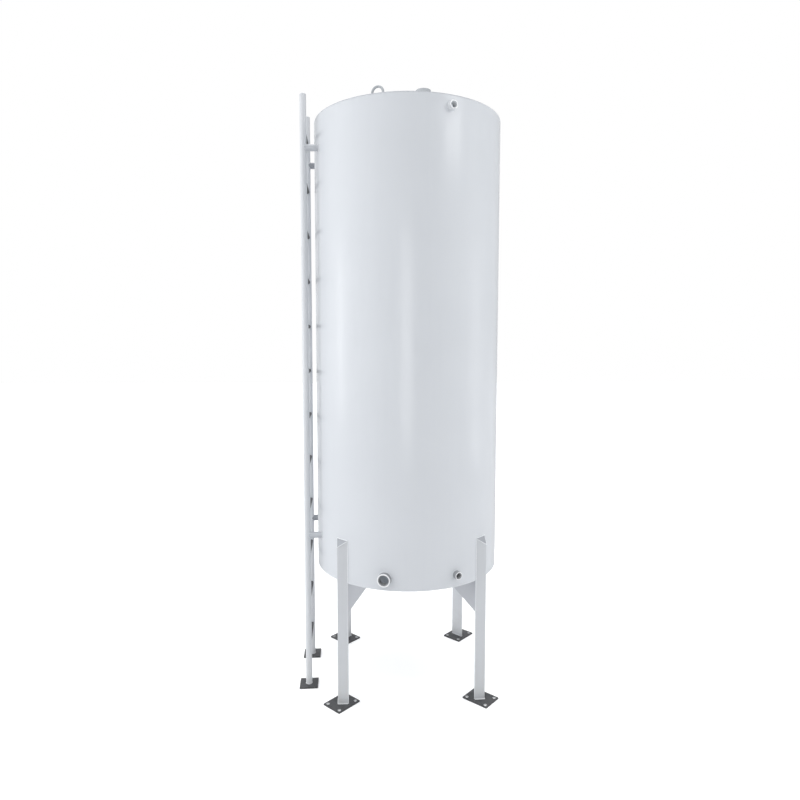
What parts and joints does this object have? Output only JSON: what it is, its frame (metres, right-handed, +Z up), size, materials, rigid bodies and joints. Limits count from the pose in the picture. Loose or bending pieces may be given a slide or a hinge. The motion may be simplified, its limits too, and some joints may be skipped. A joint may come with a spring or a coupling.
{
  "type": "vertical storage tank",
  "caption": "Tall cylindrical steel storage tank standing on angle legs with bolted base plates, with threaded couplings, lifting eyes and a fixed side ladder.",
  "frame": {"origin": "middle of the footprint on the floor, under the whole object with its ladder", "axes": "+Z up, -Y the front with the low couplings, -X the side with the ladder"},
  "size_m": [1.3464, 1.2352, 3.8355],
  "materials": {
    "shell_paint": "gloss white enamel",
    "roof_paint": "gloss white enamel",
    "bottom_paint": "gloss white enamel",
    "coupling_paint": "gloss white enamel",
    "leg_paint": "semi-gloss light grey enamel",
    "inner_plate_paint": "semi-gloss light grey enamel",
    "gusset_paint": "semi-gloss light grey enamel",
    "base_plate_steel": "dark mill-scale steel plate",
    "ladder_paint": "semi-gloss light grey enamel",
    "rung_steel": "dark grey coated bar",
    "ladder_foot_steel": "dark mill-scale steel plate",
    "eye_paint": "semi-gloss light grey enamel"
  },
  "bodies": {
    "root": {"base_plate_back_left": "base_plate_steel", "base_plate_back_right": "base_plate_steel", "base_plate_front_left": "base_plate_steel", "base_plate_front_right": "base_plate_steel", "bottom_plate": "bottom_paint", "bracket_lower_back": "ladder_paint", "bracket_lower_front": "ladder_paint", "bracket_upper_back": "ladder_paint", "bracket_upper_front": "ladder_paint", "gusset_back_left": "gusset_paint", "gusset_back_right": "gusset_paint", "gusset_front_left": "gusset_paint", "gusset_front_right": "gusset_paint", "inner_plate_back_left": "inner_plate_paint", "inner_plate_back_right": "inner_plate_paint", "inner_plate_front_left": "inner_plate_paint", "inner_plate_front_right": "inner_plate_paint", "ladder_foot_back": "ladder_foot_steel", "ladder_foot_front": "ladder_foot_steel", "ladder_rung_01": "rung_steel", "ladder_rung_02": "rung_steel", "ladder_rung_03": "rung_steel", "ladder_rung_04": "rung_steel", "ladder_rung_05": "rung_steel", "ladder_rung_06": "rung_steel", "ladder_rung_07": "rung_steel", "ladder_rung_08": "rung_steel", "ladder_rung_09": "rung_steel", "ladder_rung_10": "rung_steel", "ladder_rung_11": "rung_steel", "ladder_rung_12": "rung_steel", "ladder_stringer_back": "ladder_paint", "ladder_stringer_front": "ladder_paint", "leg_back_left": "leg_paint", "leg_back_right": "leg_paint", "leg_front_left": "leg_paint", "leg_front_right": "leg_paint", "lifting_eye_back": "eye_paint", "lifting_eye_front": "eye_paint", "nozzle_high": "coupling_paint", "nozzle_low_large": "coupling_paint", "nozzle_low_small": "coupling_paint", "nozzle_roof": "coupling_paint", "roof": "roof_paint", "shell_lower_back": "shell_paint", "shell_lower_front": "shell_paint", "shell_middle_back": "shell_paint", "shell_middle_front": "shell_paint", "shell_upper_back": "shell_paint", "shell_upper_front": "shell_paint"}
  },
  "joints": []
}
